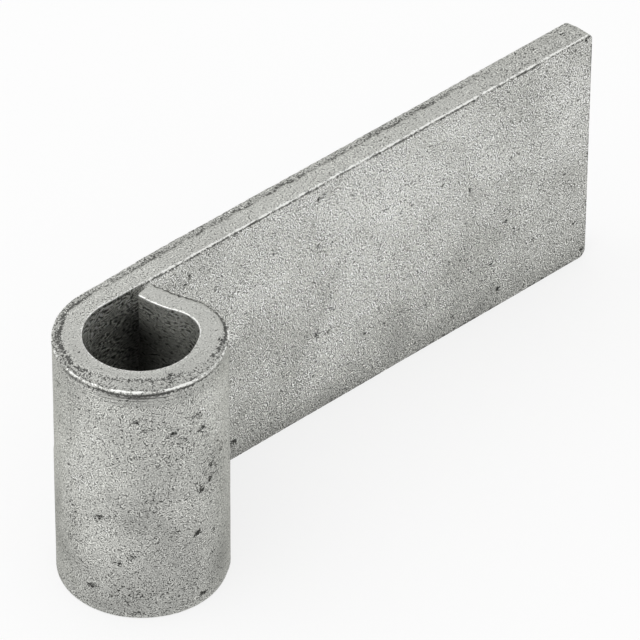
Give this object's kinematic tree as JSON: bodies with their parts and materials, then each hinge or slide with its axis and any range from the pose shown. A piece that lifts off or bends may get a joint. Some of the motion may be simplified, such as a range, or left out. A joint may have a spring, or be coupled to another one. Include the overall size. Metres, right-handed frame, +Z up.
{
  "type": "weld-on barrel hinge strap",
  "caption": "Flat steel strap with one end rolled into an open upright eye for a hinge pin; the plain leaf is welded to a gate, door or post.",
  "frame": {"origin": "on the hinge pin's axis, at the strap's lower cut edge", "axes": "+Z up along the pin's axis, +X along the leaf away from the eye, +Y out of the leaf's back, the side that is welded"},
  "size_m": [0.1184, 0.0278, 0.045],
  "materials": {
    "bare_steel": "bare tumbled steel, matt, with fine pits and a rough sheared edge"
  },
  "bodies": {
    "root": {"hinge_strap": "bare_steel"}
  },
  "joints": []
}
